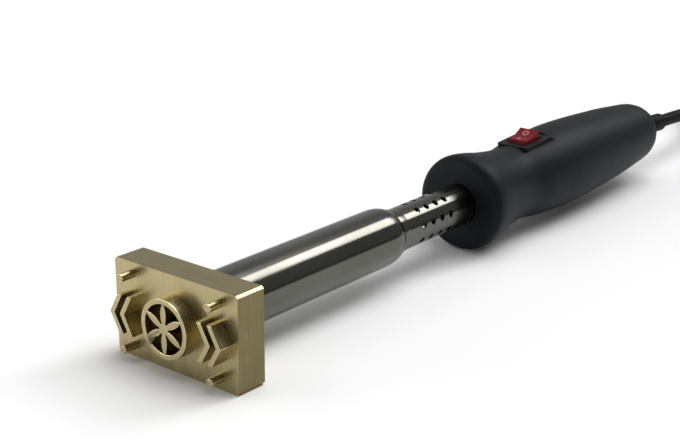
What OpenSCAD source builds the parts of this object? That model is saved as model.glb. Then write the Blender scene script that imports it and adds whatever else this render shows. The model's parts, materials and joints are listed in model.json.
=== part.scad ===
// Electric branding iron: a brass stamp on a heated sleeve, a vented neck and a moulded handle.
// Lengths are in millimetres. The tool's own axis runs along +X, from the stamp to the lead, and
// starts at the back face of the stamp block. place() lays the tool on the floor at z = 0.

/* [Stamp] */
// Width of the stamp block, side to side
block_w = 56; // [46:0.5:80]
// Height of the stamp block
block_h = 34; // [30:0.5:38]
// Thickness of the stamp block behind its relief
block_t = 12; // [10:0.5:20]
// How far the middle of the block sits below the axis
block_drop = 0.75; // [0:0.05:1.5]
// Height of the relief above the face of the block
relief_h = 5.5; // [2:0.1:8]
// Width of the strokes of the relief
stroke_w = 1.9; // [1.4:0.1:3]
// Outer diameter of the ring around the rosette
ring_d = 21; // [18:0.5:28]
// Number of petals of the rosette
petals = 6; // [4:1:8]
// Diameter of the boss in the middle of the rosette
rosette_boss_d = 4; // [3:0.1:6]
// Distance from the block's side edge to the point of the outer chevron
chevron_margin = 2.5; // [1.5:0.1:4]
// Height of each chevron
chevron_h = 14; // [12:0.5:20]
// Depth of each chevron, from its point to its ends
chevron_depth = 4; // [3:0.1:6]
// Distance from one chevron to the next
chevron_pitch = 4.6; // [4:0.1:6]
// Chevrons on each side of the rosette
chevrons = 2; // [1:1:2]
// Diameter of the round studs
stud_d = 3; // [2.4:0.1:5]
// Distance from the block's side edge to the middle of a stud
stud_side = 8; // [5:0.1:12]
// Distance from the block's top or bottom edge to the middle of a stud
stud_edge = 4.2; // [3:0.1:6]

/* [Heater head] */
// Outside diameter of the heater sleeve
sleeve_d = 23; // [22:0.1:28]
// Wall of the heater sleeve
sleeve_wall = 0.8; // [0.6:0.05:1.2]
// Length of the straight part of the sleeve
sleeve_len = 92.5; // [90:0.5:125]
// Length of the rounded shoulder, over which the sleeve is drawn in to its lip
shoulder_len = 8; // [5:0.1:10]
// Length of the lip that holds the neck
lip_len = 4.5; // [2:0.1:6]
// Wall of the drawn lip
lip_wall = 0.3; // [0.25:0.05:0.6]
// Length of the bevel at the lip's end
lip_bevel = 0.8; // [0.4:0.1:1.5]
// Length of the bush in the sleeve's front end
nose_len = 12; // [10:0.5:16]
// Diameter of the spigot that screws into the block
spigot_d = 10; // [8:0.1:11]
// Length of the spigot
spigot_len = 8; // [6:0.1:9]
// Length of the shank inside the sleeve
shank_len = 70; // [60:0.5:74]
// Wall of the ceramic former
former_wall = 1.1; // [0.9:0.05:1.4]
// Length of the ceramic former
former_len = 64; // [60:0.5:66]
// Thickness of the heating winding
winding_t = 0.8; // [0.6:0.05:1]
// Distance from each end of the former to the winding
winding_inset = 4; // [3:0.1:6]
// Thickness of the insulating wrap
wrap_t = 1.4; // [1:0.05:1.6]
// Air gap between wrap and sleeve
wrap_gap = 1; // [0.8:0.05:1.3]
// Thickness of the ceramic disc behind the heater
spacer_t = 5; // [4:0.1:6]
// Diameter of the winding's end pins
pin_d = 0.7; // [0.5:0.05:0.7]
// How far the end pins stand out behind the ceramic disc
pin_out = 3; // [2:0.1:4]

/* [Neck] */
// Outside diameter of the neck tube
neck_d = 17.2; // [16.5:0.1:18]
// Wall of the neck tube
neck_wall = 0.8; // [0.6:0.05:1]
// Length of the neck that shows between sleeve and handle
neck_show = 43.7; // [38:0.1:60]
// Length of the neck inside the sleeve's end
neck_front = 10; // [8:0.1:11]
// Length of the neck behind its ferrule
neck_tail = 8; // [8:0.1:9]
// Diameter of the vent holes
hole_d = 2.8; // [2:0.1:3.4]
// Vent holes in each row
hole_count = 4; // [3:1:4]
// Rows of vent holes around the neck
hole_rows = 8; // [4:2:10]
// Distance from one vent hole to the next in a row
hole_pitch = 6; // [5:0.1:7]
// Distance from the sleeve's lip to the first vent hole
hole_from = 9; // [6:0.1:12]
// Angle of the first row above the tool's right side
hole_turn = 13; // [0:1:45]
// Length of the ferrule in the handle
ferrule_len = 18; // [15:0.1:20]
// Thickness of the handle's front wall, which closes around the neck before the ferrule
ferrule_inset = 3; // [2:0.1:4]
// Step of the handle's bore that the ferrule rests against
ferrule_step = 1; // [0.8:0.1:1.5]
// Width of the earth clamp ring
clamp_w = 4; // [3:0.1:5]
// Thickness of the earth clamp ring
clamp_t = 1.2; // [0.8:0.1:1.4]

/* [Screws] */
// Diameter of the set screws
screw_d = 4; // [3:0.1:4.6]
// Diameter of the head of the shank's screw
screw_head_d = 7; // [6:0.1:8]
// Height of the head of the shank's screw
screw_head_h = 2.6; // [2:0.1:3]
// Width across the flats of the screw sockets
socket_af = 2; // [1.5:0.1:2]
// Depth of the screw sockets
socket_depth = 1.6; // [1:0.1:1.8]

/* [Handle] */
// Length of the handle
handle_len = 159.5; // [158:0.5:180]
// Diameter of the front flange
flange_d = 40.2; // [39:0.1:46]
// Distance from the front face to the flange's crown
crown_at = 4; // [3:0.1:6]
// How far the flange's front edge is rounded, across the radius
flange_round = 4; // [3:0.1:6]
// Distance from the front face to the throat behind the flange
throat_at = 20.5; // [19:0.1:22]
// Diameter at the throat
throat_d = 35; // [34:0.1:37]
// Distance from the front face to the waist
waist_at = 35.5; // [33:0.1:38]
// Diameter at the waist
waist_d = 31.9; // [30:0.1:34]
// Distance from the front face to the swell behind the waist
swell_at = 50; // [47:0.1:53]
// Diameter at that swell
swell_d = 35.2; // [33:0.1:36]
// Distance from the front face to the belly
belly_at = 77.5; // [70:0.5:85]
// Diameter at the belly
belly_d = 37.8; // [36:0.1:42]
// Distance from the front face to the taper behind the belly
taper_at = 119.5; // [112:0.5:125]
// Diameter at the taper
taper_d = 34.1; // [32:0.1:36]
// Distance from the front face to the start of the rounded rear end
tail_at = 144.5; // [140:0.5:146]
// Diameter at the start of the rear end
tail_d = 29.7; // [29:0.1:32]
// Diameter of the small flat at the rear end
end_d = 12; // [11:0.1:14]
// How far the tail runs on before it turns in
tail_lead = 11; // [9:0.5:12]
// How far the rear end stays upright before it turns in
end_lead = 2.1; // [1:0.1:4]
// Room between the neck and the wall of the handle's cavity
cavity_room = 3.8; // [3.6:0.1:4.4]
// Distance from the rear end to the cavity's straight part
cavity_back = 36; // [34:0.5:40]
// Diameter of the cavity where it meets the rear wall
cavity_tail_d = 12.4; // [12:0.1:16]
// Thickness of the rear wall that holds the strain relief
rear_wall = 15; // [12:0.5:18]
// Diameter of the hole in the rear wall
rear_hole_d = 8.6; // [8:0.1:10]

/* [Switch] */
// Distance from the handle's front face to the switch's middle
switch_at = 50.3; // [49:0.1:56]
// Slope of the switch's seat, rising to the rear
seat_slope = 3; // [0:0.1:6]
// How far the seat is sunk below the handle's surface at the bezel's edges
seat_sink = 0.4; // [0:0.1:1]
// Length of the bezel
bezel_l = 21; // [20.4:0.1:23]
// Width of the bezel
bezel_w = 15; // [14:0.1:16]
// Thickness of the bezel
bezel_t = 1.6; // [1.4:0.1:2.5]
// Corner radius of the bezel
bezel_round = 1.2; // [0.8:0.1:2]
// Length of the switch body behind the bezel
housing_l = 19.2; // [18.6:0.1:20]
// Width of the switch body
housing_w = 12.8; // [12:0.1:13.4]
// Depth of the switch body below its seat
housing_d = 15; // [14.5:0.1:16]
// Wall of the switch body
housing_wall = 0.8; // [0.6:0.05:1]
// Thickness of the switch body's floor
housing_floor = 2; // [1.5:0.1:2.4]
// Length of the rocker
rocker_l = 13.4; // [12.6:0.1:15]
// Width of the rocker
rocker_w = 9; // [8:0.1:9.8]
// Angle that the rocker leans to either side
rock = 12.5; // [9:0.5:13]
// Gap between the rocker and the rim around it, on each side
rocker_gap = 0.3; // [0.3:0.05:0.5]
// Height of the pressed face of the rocker above the bezel
rocker_proud = 1.6; // [0.5:0.1:2]
// Depth of the rocker's pivot below the seat
pivot_depth = 1.5; // [1.3:0.1:2]
// Diameter of the rocker's pivots
pivot_d = 2.4; // [2:0.1:2.4]
// Diameter of the plunger in the rocker
plunger_d = 2.8; // [2.2:0.1:3]
// Distance from the rocker's pivot to the plunger's tip
plunger_reach = 6.5; // [6:0.1:6.8]
// Angle that the contact bridge leans to either side
bridge_lean = 7.5; // [6:0.5:8]
// Half the length of the contact bridge
bridge_half = 6.2; // [6.1:0.1:6.6]
// Width of the contact bridge
bridge_w = 3; // [2:0.1:3.4]
// Thickness of the contact bridge
bridge_t = 0.7; // [0.5:0.05:0.8]
// Diameter of the bridge's pivot pin
bridge_pin_d = 1.3; // [1:0.05:1.4]
// Distance from the switch's middle to the fixed contact
load_at = 5; // [4.8:0.1:5]
// Width of the terminal blades
blade_w = 4.8; // [4:0.1:5]
// Thickness of the terminal blades
blade_t = 0.8; // [0.6:0.05:1]
// Length of the terminal blades below the switch body
blade_len = 7.5; // [7:0.1:8]

/* [Leads] */
// Diameter of the leads in handle and neck
lead_d = 2.4; // [2:0.1:2.5]
// Diameter of the earth core
earth_d = 2; // [1.6:0.1:2.2]
// Distance from the switch's middle to the splice between neutral core and neutral lead
splice_at = 33; // [30:0.5:36]
// Length of the splice
splice_len = 14; // [10:0.5:18]
// Diameter of the splice
splice_d = 4.4; // [4:0.1:5]
// Length of the sheathed lead's end inside the handle
inlet_len = 14; // [12:0.5:16]
// Length of the crimped collar on the lead's end
collar_len = 6; // [4:0.1:8]
// Wall of the crimped collar
collar_wall = 1.6; // [1:0.1:2]

/* [Strain relief] */
// Length of the strain relief outside the handle
relief_out = 21.4; // [20:0.1:30]
// Diameter of the strain relief at the handle
relief_root_d = 9.6; // [9:0.1:10.5]
// Diameter of the strain relief at its thin end
relief_tip_d = 8.4; // [7.4:0.1:8.6]
// Diameter of the end collar
relief_collar_d = 8.8; // [8.4:0.1:10.5]
// Length of the end collar
relief_collar_len = 10; // [8:0.1:12]
// Diameter of the strain relief's flange inside the handle
relief_flange_d = 11.2; // [10:0.1:12]
// Thickness of that flange
relief_flange_t = 3.3; // [2.5:0.1:4]
// Angle that the strain relief droops below the axis
relief_droop = 3; // [0:0.5:8]

/* [Cord] */
// Diameter of the mains lead
cord_d = 6.5; // [6:0.1:7]
// Half-width of the outer loop of the hank
hank_half = 30; // [28:0.5:34]
// Half the length of the hank's straight runs
hank_run = 38; // [30:0.5:44]
// Distance from one loop to the next in a layer
hank_step = 7.6; // [7.4:0.1:9]
// Height from one layer to the next
hank_rise = 7.1; // [7:0.1:9]
// How far the runs are drawn in at the waist
hank_draw = 8; // [4:0.5:10]
// Width of the tie around the hank
tie_w = 12; // [8:0.5:20]
// Thickness of the tie
tie_t = 1.2; // [0.8:0.1:1.6]

/* [Plug] */
// Diameter of the plug's front disc
plug_d = 37; // [35:0.5:40]
// Thickness of the plug's front disc
plug_disc = 11; // [9:0.5:14]
// Length of the plug's tapered grip
plug_grip = 24; // [20:0.5:30]
// Diameter of the grip where it meets the boot
plug_neck_d = 17; // [15:0.5:20]
// Length of the plug's cord boot
plug_boot = 15; // [12:0.5:20]
// Diameter of the boot's thin end
boot_tip_d = 9.4; // [8:0.1:10]
// Diameter of the plug's pins
plug_pin_d = 4.8; // [4:0.1:5]
// Length of the plug's pins
plug_pin_len = 19; // [17:0.1:20]
// Distance between the plug's pins
plug_pin_gap = 19; // [17:0.1:20]
// Width of the earth clips
clip_w = 5; // [4:0.1:6]
// Thickness of the earth clips
clip_t = 0.8; // [0.6:0.1:1]
// Turn of the plug about its own axis
plug_turn = 35; // [20:1:60]

/* [Hidden] */
$fn = 64;

// Clearances: turned fits, running pivots, wound layers, and cuts that overshoot their faces
fit = 0.05;
running = 0.05;
layer_gap = 0.1;
air_gap = 0.3;
cut = 1;

// Colours
brass = "#b6a468";
steel = "#a9a9a5";
dark_steel = "#7c7c78";
ceramic = "#ddd6c6";
black = "#25282b";
red = "#a81e22";
copper = "#b4713d";

// Radii of the heater head, from the sleeve inwards
sleeve_r = sleeve_d / 2;
sleeve_in_r = sleeve_r - sleeve_wall;
wrap_r = sleeve_in_r - wrap_gap;
winding_r = wrap_r - wrap_t - layer_gap;
former_r = winding_r - winding_t - layer_gap;
shank_r = former_r - former_wall - layer_gap;
neck_r = neck_d / 2;
neck_in_r = neck_r - neck_wall;
lip_r = neck_r + fit + lip_wall;
pin_at = winding_r - winding_t / 2;
lead_r = lead_d / 2;
earth_r = earth_d / 2;
screw_r = screw_d / 2;
cord_r = cord_d / 2;

// Stations along the axis
former_x = nose_len;
former_end = former_x + former_len;
spacer_end = former_end + spacer_t;
pin_end = spacer_end + pin_out;
lip_x = sleeve_len + shoulder_len;
lip_end = lip_x + lip_len;
neck_x = lip_end - neck_front;
handle_x = lip_end + neck_show;
handle_end = handle_x + handle_len;
ferrule_x = handle_x + ferrule_inset;
ferrule_end = ferrule_x + ferrule_len;
neck_end = ferrule_end + neck_tail;
switch_x = handle_x + switch_at;
rear_wall_x = handle_end - rear_wall;
inlet_end = rear_wall_x - relief_flange_t;
inlet_x = inlet_end - inlet_len;

// The handle's outline: stations [distance, radius] joined by a smooth curve
grip = [[crown_at, flange_d / 2], [throat_at, throat_d / 2], [waist_at, waist_d / 2],
        [swell_at, swell_d / 2], [belly_at, belly_d / 2], [taper_at, taper_d / 2], [tail_at, tail_d / 2]];
grip_last = len(grip) - 1;
cavity_r = neck_r + cavity_room;
ferrule_r = cavity_r + ferrule_step;

// Slope of the handle's outline at station i
function grip_slope(i) =
    i == 0 ? 0
    : i == grip_last ? (grip[i][1] - grip[i - 1][1]) / (grip[i][0] - grip[i - 1][0])
    : (grip[i + 1][1] - grip[i - 1][1]) / (grip[i + 1][0] - grip[i - 1][0]);

// Radius on the stretch from station i to the next, at share t of the way
function grip_on(i, t) =
    let (span = grip[i + 1][0] - grip[i][0])
    (2 * t ^ 3 - 3 * t ^ 2 + 1) * grip[i][1] + (t ^ 3 - 2 * t ^ 2 + t) * span * grip_slope(i)
    + (3 * t ^ 2 - 2 * t ^ 3) * grip[i + 1][1] + (t ^ 3 - t ^ 2) * span * grip_slope(i + 1);

// Radius of the handle at a distance from its front face
function grip_r(at) =
    [for (i = [0:grip_last - 1])
        if (at >= grip[i][0] && at <= grip[i + 1][0])
            grip_on(i, (at - grip[i][0]) / (grip[i + 1][0] - grip[i][0]))][0];

// Point on a curve with four control points
function bezier(a, b, c, d, t) =
    (1 - t) ^ 3 * a + 3 * t * (1 - t) ^ 2 * b + 3 * t ^ 2 * (1 - t) * c + t ^ 3 * d;

grip_steps = 6;
round_steps = 8;
handle_outline = concat(
    [for (k = [0:round_steps]) let (a = 90 * k / round_steps)
        [flange_d / 2 - flange_round * (1 - sin(a)), crown_at * (1 - cos(a))]],
    [for (i = [0:grip_last - 1]) for (k = [1:grip_steps]) let (t = k / grip_steps)
        [grip_on(i, t), grip[i][0] + t * (grip[i + 1][0] - grip[i][0])]],
    [for (k = [1:round_steps])
        bezier([tail_d / 2, tail_at],
               [tail_d / 2 + tail_lead * grip_slope(grip_last), tail_at + tail_lead],
               [end_d / 2 + end_lead, handle_len],
               [end_d / 2, handle_len], k / round_steps)]);

// The switch's seat is a flat, sunk below the handle's surface at the bezel's edges
seat_z = sqrt(grip_r(switch_at) ^ 2 - (bezel_w / 2) ^ 2) - seat_sink;
press_h = bezel_t + rocker_proud + pivot_depth;
corner_in = 0.5;
end_top = 12;
end_foot = 24;
end_steps = 6;
rocker_foot = 4;
rocker_foot_w = 3.2;
plunger_gap = 0.35;
plunger_hole_h = 3.2;
plunger_head_h = 2.4;
bridge_drop = 0.75;
barrel_wall = 0.6;
pad_r = 1;
pad_t = 0.4;
ear_t = 0.8;
ear_half = 1.3;
ear_y = bridge_w / 2 + air_gap;
foot_gap = 1.1;
rim_below = 1;
pivot_z = -pivot_depth;
rim_z = pivot_z - pivot_d / 2 - rim_below;
bridge_z = pivot_z - plunger_reach - plunger_gap - bridge_t - bridge_drop;
bridge_barrel_r = bridge_pin_d / 2 + running + barrel_wall;
foot_z = bridge_z - bridge_barrel_r - foot_gap - blade_t;
floor_z = -housing_d + housing_floor;
contact_z = bridge_z + (bridge_drop - pad_t) * cos(bridge_lean) - (load_at + pad_r) * sin(bridge_lean)
            - air_gap;
blade_end_z = -housing_d - blade_len;

// Push-on connectors on the blades
receptacle_wall = 0.9;
receptacle_h = 6.4;
barrel_len = 4;
barrel_r = lead_r + 0.5;
receptacle_x = blade_t / 2 + fit + receptacle_wall;
receptacle_y = blade_w / 2 + fit + receptacle_wall;
receptacle_z = -housing_d - air_gap - receptacle_h;
barrel_z = receptacle_z + barrel_r;

// The tool rests on the block's front lower edge and on the flange
block_low = block_h / 2 + block_drop;
rest_span = block_t + handle_x + crown_at;
tilt = atan((flange_d / 2 - block_low) / rest_span);
rest_z = block_low * cos(tilt) + max(0, block_t * sin(tilt));
rest_x = (block_t + relief_h - handle_end - relief_out) / 2 * cos(tilt);

// Where a point of the tool lies once the tool rests on the floor
function laid(p) = [p[0] * cos(tilt) - p[2] * sin(tilt) + rest_x, p[1],
                    p[0] * sin(tilt) + p[2] * cos(tilt) + rest_z];

// Where a point of the switch lies in the tool's frame
function seated(p) = [switch_x + p[0] * cos(seat_slope) - p[2] * sin(seat_slope), p[1],
                      seat_z + p[0] * sin(seat_slope) + p[2] * cos(seat_slope)];

// Routes of the leads inside the tool, as hand-placed points that start and end straight
lead_y = 3.6;
lead_z = -3.6;
side_y = 5.5;
side_z = -4;
core_spread = 1.8;
core_y = core_spread * cos(30);
core_z = core_spread * sin(30);
straight = 4;
pin_place = pin_at * sin(45);
barrel_front = seated([-receptacle_x - barrel_len, 0, barrel_z]);
barrel_rear = seated([load_at + receptacle_x + barrel_len, 0, barrel_z]);
splice_x = switch_x + splice_at;
splice_end = splice_x + splice_len;
lug_angle = -25;
lug_len = 10;
lug_t = 2.6;
lug_x = ferrule_end + air_gap;
lug_end = lug_x + lug_len;
lug_at = neck_r + air_gap + lug_t / 2;
lug_y = lug_at * cos(lug_angle);
lug_z = lug_at * sin(lug_angle);
barrel_way = [cos(seat_slope), 0, sin(seat_slope)];
live_route = [[inlet_x, 0, -core_spread], [inlet_x - straight, 0, -core_spread],
              (2 * [inlet_x, 0, side_z] + barrel_rear) / 3, barrel_rear + straight * barrel_way, barrel_rear];
neutral_route = [[inlet_x, -core_y, core_z], [inlet_x - straight, -core_y, core_z],
                 [(inlet_x + splice_end) / 2, -(core_y + side_y) / 2, (core_z + side_z) / 2],
                 [splice_end + straight, -side_y, side_z], [splice_end, -side_y, side_z]];
earth_route = [[inlet_x, core_y, core_z], [inlet_x - straight, core_y, core_z],
               [(3 * inlet_x + lug_end) / 4, (core_y + lug_y) / 2, (core_z + lug_z) / 2],
               [(inlet_x + lug_end) / 2, lug_y, lug_z], [lug_end + straight, lug_y, lug_z],
               [lug_end, lug_y, lug_z]];
switched_route = [barrel_front, barrel_front - straight * barrel_way, [neck_end - 4, lead_y, lead_z],
                  [neck_x, lead_y, lead_z], [pin_end + straight, pin_place, -pin_place],
                  [pin_end, pin_place, -pin_place]];
neutral_lead_route = [[splice_x, -side_y, side_z], [splice_x - straight, -side_y, side_z],
                      [neck_end + 8, -side_y, side_z], [neck_end - 4, -lead_y, lead_z],
                      [neck_x, -lead_y, lead_z], [pin_end + straight, -pin_place, -pin_place],
                      [pin_end, -pin_place, -pin_place]];

// The hank: loops with straight runs that spiral in and out again, four layers high, and climb one
// layer on the far run each time the spiral turns back
hank_x = 330;
hank_layers = 4;
hank_rings = 24;
hank_end = hank_layers + 0.25;
tie_gap = 0.4;
hank_lift = tie_t + tie_gap;

// How many steps the loop has moved in after p turns
function hank_in(p) = let (j = max(0, min(hank_layers - 1, floor(p - 0.125))))
    j % 2 == 0 ? p - j : j + 1.25 - p;
// How many layers the loop has climbed after p turns
function hank_up(p) = let (c = min(1, 4 * (p - floor(p))))
    p < 1 ? 0 : min(hank_layers - 1, floor(p) - 1 + c * c * (3 - 2 * c));
// How strongly the tie draws a run in, at a distance from the waist
function hank_waist(x) = cos(90 * x / hank_run) ^ 2;
// Point of the hank after p turns
function hank_point(p) =
    let (f = 4 * (p - floor(p)), q = floor(f), t = f - q, w = hank_half - hank_step * hank_in(p),
         z = cord_r + hank_rise * hank_up(p), x = hank_run * (2 * t - 1), waist = hank_waist(x))
    q == 0 ? [hank_x + x, w - hank_draw * waist, z + hank_lift * waist]
    : q == 1 ? [hank_x + hank_run + w * sin(180 * t), w * cos(180 * t), z]
    : q == 2 ? [hank_x - x, hank_draw * waist - w, z + hank_lift * waist]
    : [hank_x - hank_run - w * sin(180 * t), -w * cos(180 * t), z];
hank_first = [hank_x - hank_run - cord_d, hank_half, cord_r];
hank_last = [hank_x + hank_run + cord_d, hank_half, cord_r + (hank_layers - 1) * hank_rise];
hank_route = concat([hank_first], [for (k = [0:hank_end * hank_rings]) hank_point(k / hank_rings)],
                    [hank_last]);
// Route of the mains lead to the floor and the hank, from a hair behind the strain relief's end face
cord_exit = laid([handle_end + relief_out * cos(relief_droop), 0, -relief_out * sin(relief_droop)]);
cord_way = [cos(relief_droop - tilt), 0, -sin(relief_droop - tilt)];
cord_route = concat([cord_exit + fit * cord_way, cord_exit + cord_d * cord_way],
    [[190, 0, 20.87], [200, 0, 20.4], [211, 0.4, 19.6], [223, 2.6, 17.1], [235, 7, 13.3], [247, 13.2, 9.1],
     [258, 20, 5.8], [268, 26, 3.9]],
    [hank_first - [cord_d, 0, 0], hank_first]);
// Least distance between points of the hank that are half a turn or more apart, less the diameter
hank_gap = min([for (i = [0:len(hank_route) - 1]) for (j = [i + hank_rings / 2:1:len(hank_route) - 1])
                norm(hank_route[i] - hank_route[j])]) - cord_d;
echo(hank_gap = hank_gap);

// The plug lies beyond the hank, on the rim of its disc
plug_x = 416;
plug_y = 18;
plug_r = plug_d / 2;
plug_len = plug_boot + plug_grip + plug_disc;
plug_route = concat([hank_last, hank_last + [cord_r, 0, 0]],
    [[386.5, 28.5, 23.8], [395.25, 24, 21.5], [404, 19.5, 19.3]],
    [[plug_x - cord_r, plug_y, plug_r], [plug_x, plug_y, plug_r]]);
// Length of a route
function route_length(route) = norm_sum([for (i = [1:len(route) - 1]) norm(route[i] - route[i - 1])], 0);
function norm_sum(list, i) = i == len(list) ? 0 : list[i] + norm_sum(list, i + 1);
echo(cord_length = route_length(cord_route) + route_length(hank_route) + route_length(plug_route));

function unit(v) = v / norm(v);
// Direction of a route at point i
function heading(route, i) =
    unit(i == 0 ? route[1] - route[0]
         : i == len(route) - 1 ? route[i] - route[i - 1]
         : unit(route[i + 1] - route[i]) + unit(route[i] - route[i - 1]));
// Ring of points around a route at point i
function route_ring(route, i, r, sides) =
    let (ahead = heading(route, i), side = unit(cross([0, 0, 1], ahead)), up = cross(ahead, side))
    [for (k = [0:sides - 1]) let (a = 360 * k / sides) route[i] + r * (cos(a) * side + sin(a) * up)];
// Tangent of a route at point i, for a stretch of a given length; the end stretches stay straight
function route_tangent(route, i, span) =
    let (last = len(route) - 1)
    i <= 1 ? span * unit(route[1] - route[0])
    : i >= last - 1 ? span * unit(route[last] - route[last - 1])
    : span * unit(route[i + 1] - route[i - 1]);
// Points on a smooth curve through a route, with a number of steps on each stretch
function smooth(route, steps) =
    let (last = len(route) - 1)
    concat([route[0]], [for (i = [0:last - 1]) for (k = [1:steps])
        let (t = k / steps, a = route[i], b = route[i + 1], span = norm(b - a),
             ma = route_tangent(route, i, span), mb = route_tangent(route, i + 1, span))
        (2 * t ^ 3 - 3 * t ^ 2 + 1) * a + (t ^ 3 - 2 * t ^ 2 + t) * ma
        + (3 * t ^ 2 - 2 * t ^ 3) * b + (t ^ 3 - t ^ 2) * mb]);

// Round tube along a route, closed at both ends
module tube(route, r, sides) {
    last = len(route) - 1;
    points = [for (i = [0:last]) each route_ring(route, i, r, sides)];
    walls = [for (i = [0:last - 1]) for (k = [0:sides - 1])
        let (a = i * sides + k, b = i * sides + (k + 1) % sides)
        each [[a, a + sides, b], [b, a + sides, b + sides]]];
    ends = [for (k = [1:sides - 2])
        each [[0, k, k + 1], [last * sides, last * sides + k + 1, last * sides + k]]];
    polyhedron(points, concat(walls, ends));
}

// Lays the tool on the floor
module place() {
    translate([rest_x, 0, rest_z]) rotate([0, -tilt, 0]) children();
}

// Sets a piece of the switch on its seat
module on_seat() {
    place() translate([switch_x, 0, seat_z]) rotate([0, -seat_slope, 0]) children();
}

// Solid of revolution about the axis, from points [radius, distance]
module turned(points) {
    rotate([0, 90, 0]) rotate_extrude() polygon(points);
}

// Round bar on the axis
module rod(from, to, r) {
    translate([from, 0, 0]) rotate([0, 90, 0]) cylinder(h = to - from, r = r);
}

// Round tube on the axis
module pipe(from, to, r_in, r_out) {
    difference() {
        rod(from, to, r_out);
        rod(from - cut, to + cut, r_in);
    }
}

// Round bar from the axis downwards, between two radii
module drop_rod(x, from, to, r) {
    translate([x, 0, -to]) cylinder(h = to - from, r = r);
}

// Round bar along Y, centred
module cross_rod(x, z, length, r) {
    translate([x, 0, z]) rotate([90, 0, 0]) cylinder(h = length, r = r, center = true);
}

// Hexagon socket that opens downwards at a radius
module drop_socket(x, at) {
    translate([x, 0, -at - cut]) cylinder(h = socket_depth + cut, d = socket_af / cos(30), $fn = 6);
}

// Plate with rounded corners, its underside at z = 0
module rounded_plate(l, w, t, r) {
    linear_extrude(t) {
        square([l - 2 * r, w], center = true);
        square([l, w - 2 * r], center = true);
        for (sx = [-1, 1], sy = [-1, 1]) translate([sx * (l / 2 - r), sy * (w / 2 - r)]) circle(r);
    }
}

// Raised stroke of the relief, from an outline across the block's face
module raised() {
    sink = 0.5;
    translate([-block_t - relief_h, 0, -block_drop]) rotate([90, 0, 90])
        linear_extrude(relief_h + sink) children();
}

module rosette() {
    petal_r = ring_d / 2 - stroke_w / 2;
    lean = 60;
    raised() difference() {
        circle(d = ring_d);
        circle(d = ring_d - 2 * stroke_w);
    }
    raised() circle(d = rosette_boss_d);
    for (k = [0:petals - 1]) raised() rotate(90 + 360 * k / petals) intersection() {
        translate(petal_r * [cos(lean), sin(lean)]) circle(petal_r);
        translate(petal_r * [cos(lean), -sin(lean)]) circle(petal_r);
    }
}

module chevron(tip) {
    across = stroke_w * norm([chevron_depth, chevron_h / 2]) / (chevron_h / 2);
    raised() polygon([[tip, 0], [tip - chevron_depth, chevron_h / 2],
                      [tip - chevron_depth - across, chevron_h / 2], [tip - across, 0],
                      [tip - chevron_depth - across, -chevron_h / 2],
                      [tip - chevron_depth, -chevron_h / 2]]);
}

module brand_block() {
    bore_gap = 0.5;
    color(brass) place() {
        difference() {
            translate([-block_t, -block_w / 2, -block_low]) cube([block_t, block_w, block_h]);
            rod(-spigot_len - bore_gap, cut, min(spigot_d / 2, shank_r) + fit);
        }
        rosette();
        for (side = [0, 1]) mirror([0, side, 0]) {
            for (k = [0:chevrons - 1]) chevron(block_w / 2 - chevron_margin - k * chevron_pitch);
            for (sz = [-1, 1]) raised()
                translate([block_w / 2 - stud_side, sz * (block_h / 2 - stud_edge)]) circle(d = stud_d);
        }
    }
}

module stamp_shank() {
    color(brass) place() {
        rod(0, shank_len, shank_r);
        rod(-spigot_len, cut, min(spigot_d / 2, shank_r));
    }
}

module nose_bush() {
    color(dark_steel) place() difference() {
        pipe(0, nose_len, shank_r + fit, sleeve_in_r - fit);
        drop_rod(nose_len / 2, 0, sleeve_r, screw_r + fit);
    }
}

module shank_screw() {
    color(dark_steel) place() difference() {
        union() {
            drop_rod(nose_len / 2, shank_r + fit, sleeve_r + cut, screw_r);
            drop_rod(nose_len / 2, sleeve_r, sleeve_r + screw_head_h, screw_head_d / 2);
        }
        drop_socket(nose_len / 2, sleeve_r + screw_head_h);
    }
}

module heater_former() {
    color(ceramic) place() pipe(former_x, former_end, shank_r + layer_gap, former_r);
}

module heater_winding() {
    color(copper) place()
        pipe(former_x + winding_inset, former_end - winding_inset, former_r + layer_gap, winding_r);
}

module heater_wrap() {
    color(ceramic) place() pipe(former_x, former_end, winding_r + layer_gap, wrap_r);
}

module heater_pins() {
    color(steel) place() for (side = [-1, 1])
        translate([0, side * pin_place, -pin_place]) rod(former_end - winding_inset, pin_end, pin_d / 2);
}

module lead_spacer() {
    color(ceramic) place() difference() {
        rod(former_end, spacer_end, sleeve_in_r - fit);
        for (side = [-1, 1]) translate([0, side * pin_place, -pin_place])
            rod(former_end - cut, spacer_end + cut, pin_d / 2 + fit);
    }
}

shoulder_steps = 12;
// Point of the shoulder at an angle round a quarter ellipse, from one radius to another over a length
function drawn_in(from, to, length, angle) =
    [to + (from - to) * cos(angle), sleeve_len + length * sin(angle)];

module heater_sleeve() {
    angles = [for (k = [0:shoulder_steps]) 90 * k / shoulder_steps];
    bore_r = neck_r + fit;
    edge_r = bore_r + lip_wall / 3;
    outer = [for (a = angles) drawn_in(sleeve_r, lip_r, shoulder_len, a)];
    inner = [for (a = angles) drawn_in(sleeve_in_r, bore_r, shoulder_len - sleeve_wall, 90 - a)];
    color(steel) place() difference() {
        turned(concat([[sleeve_in_r, 0], [sleeve_r, 0]], outer,
                      [[lip_r, lip_end - lip_bevel], [edge_r, lip_end], [bore_r, lip_end]],
                      inner));
        drop_rod(nose_len / 2, 0, sleeve_r + cut, screw_r + fit);
    }
}

module neck_tube() {
    color(steel) place() difference() {
        pipe(neck_x, neck_end, neck_in_r, neck_r);
        for (k = [0:hole_count - 1], row = [0:hole_rows / 2 - 1])
            translate([lip_end + hole_from + k * hole_pitch, 0, 0])
                rotate([90 - hole_turn - row * 360 / hole_rows, 0, 0])
                    cylinder(h = neck_d + 2 * cut, d = hole_d, center = true);
    }
}

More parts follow.
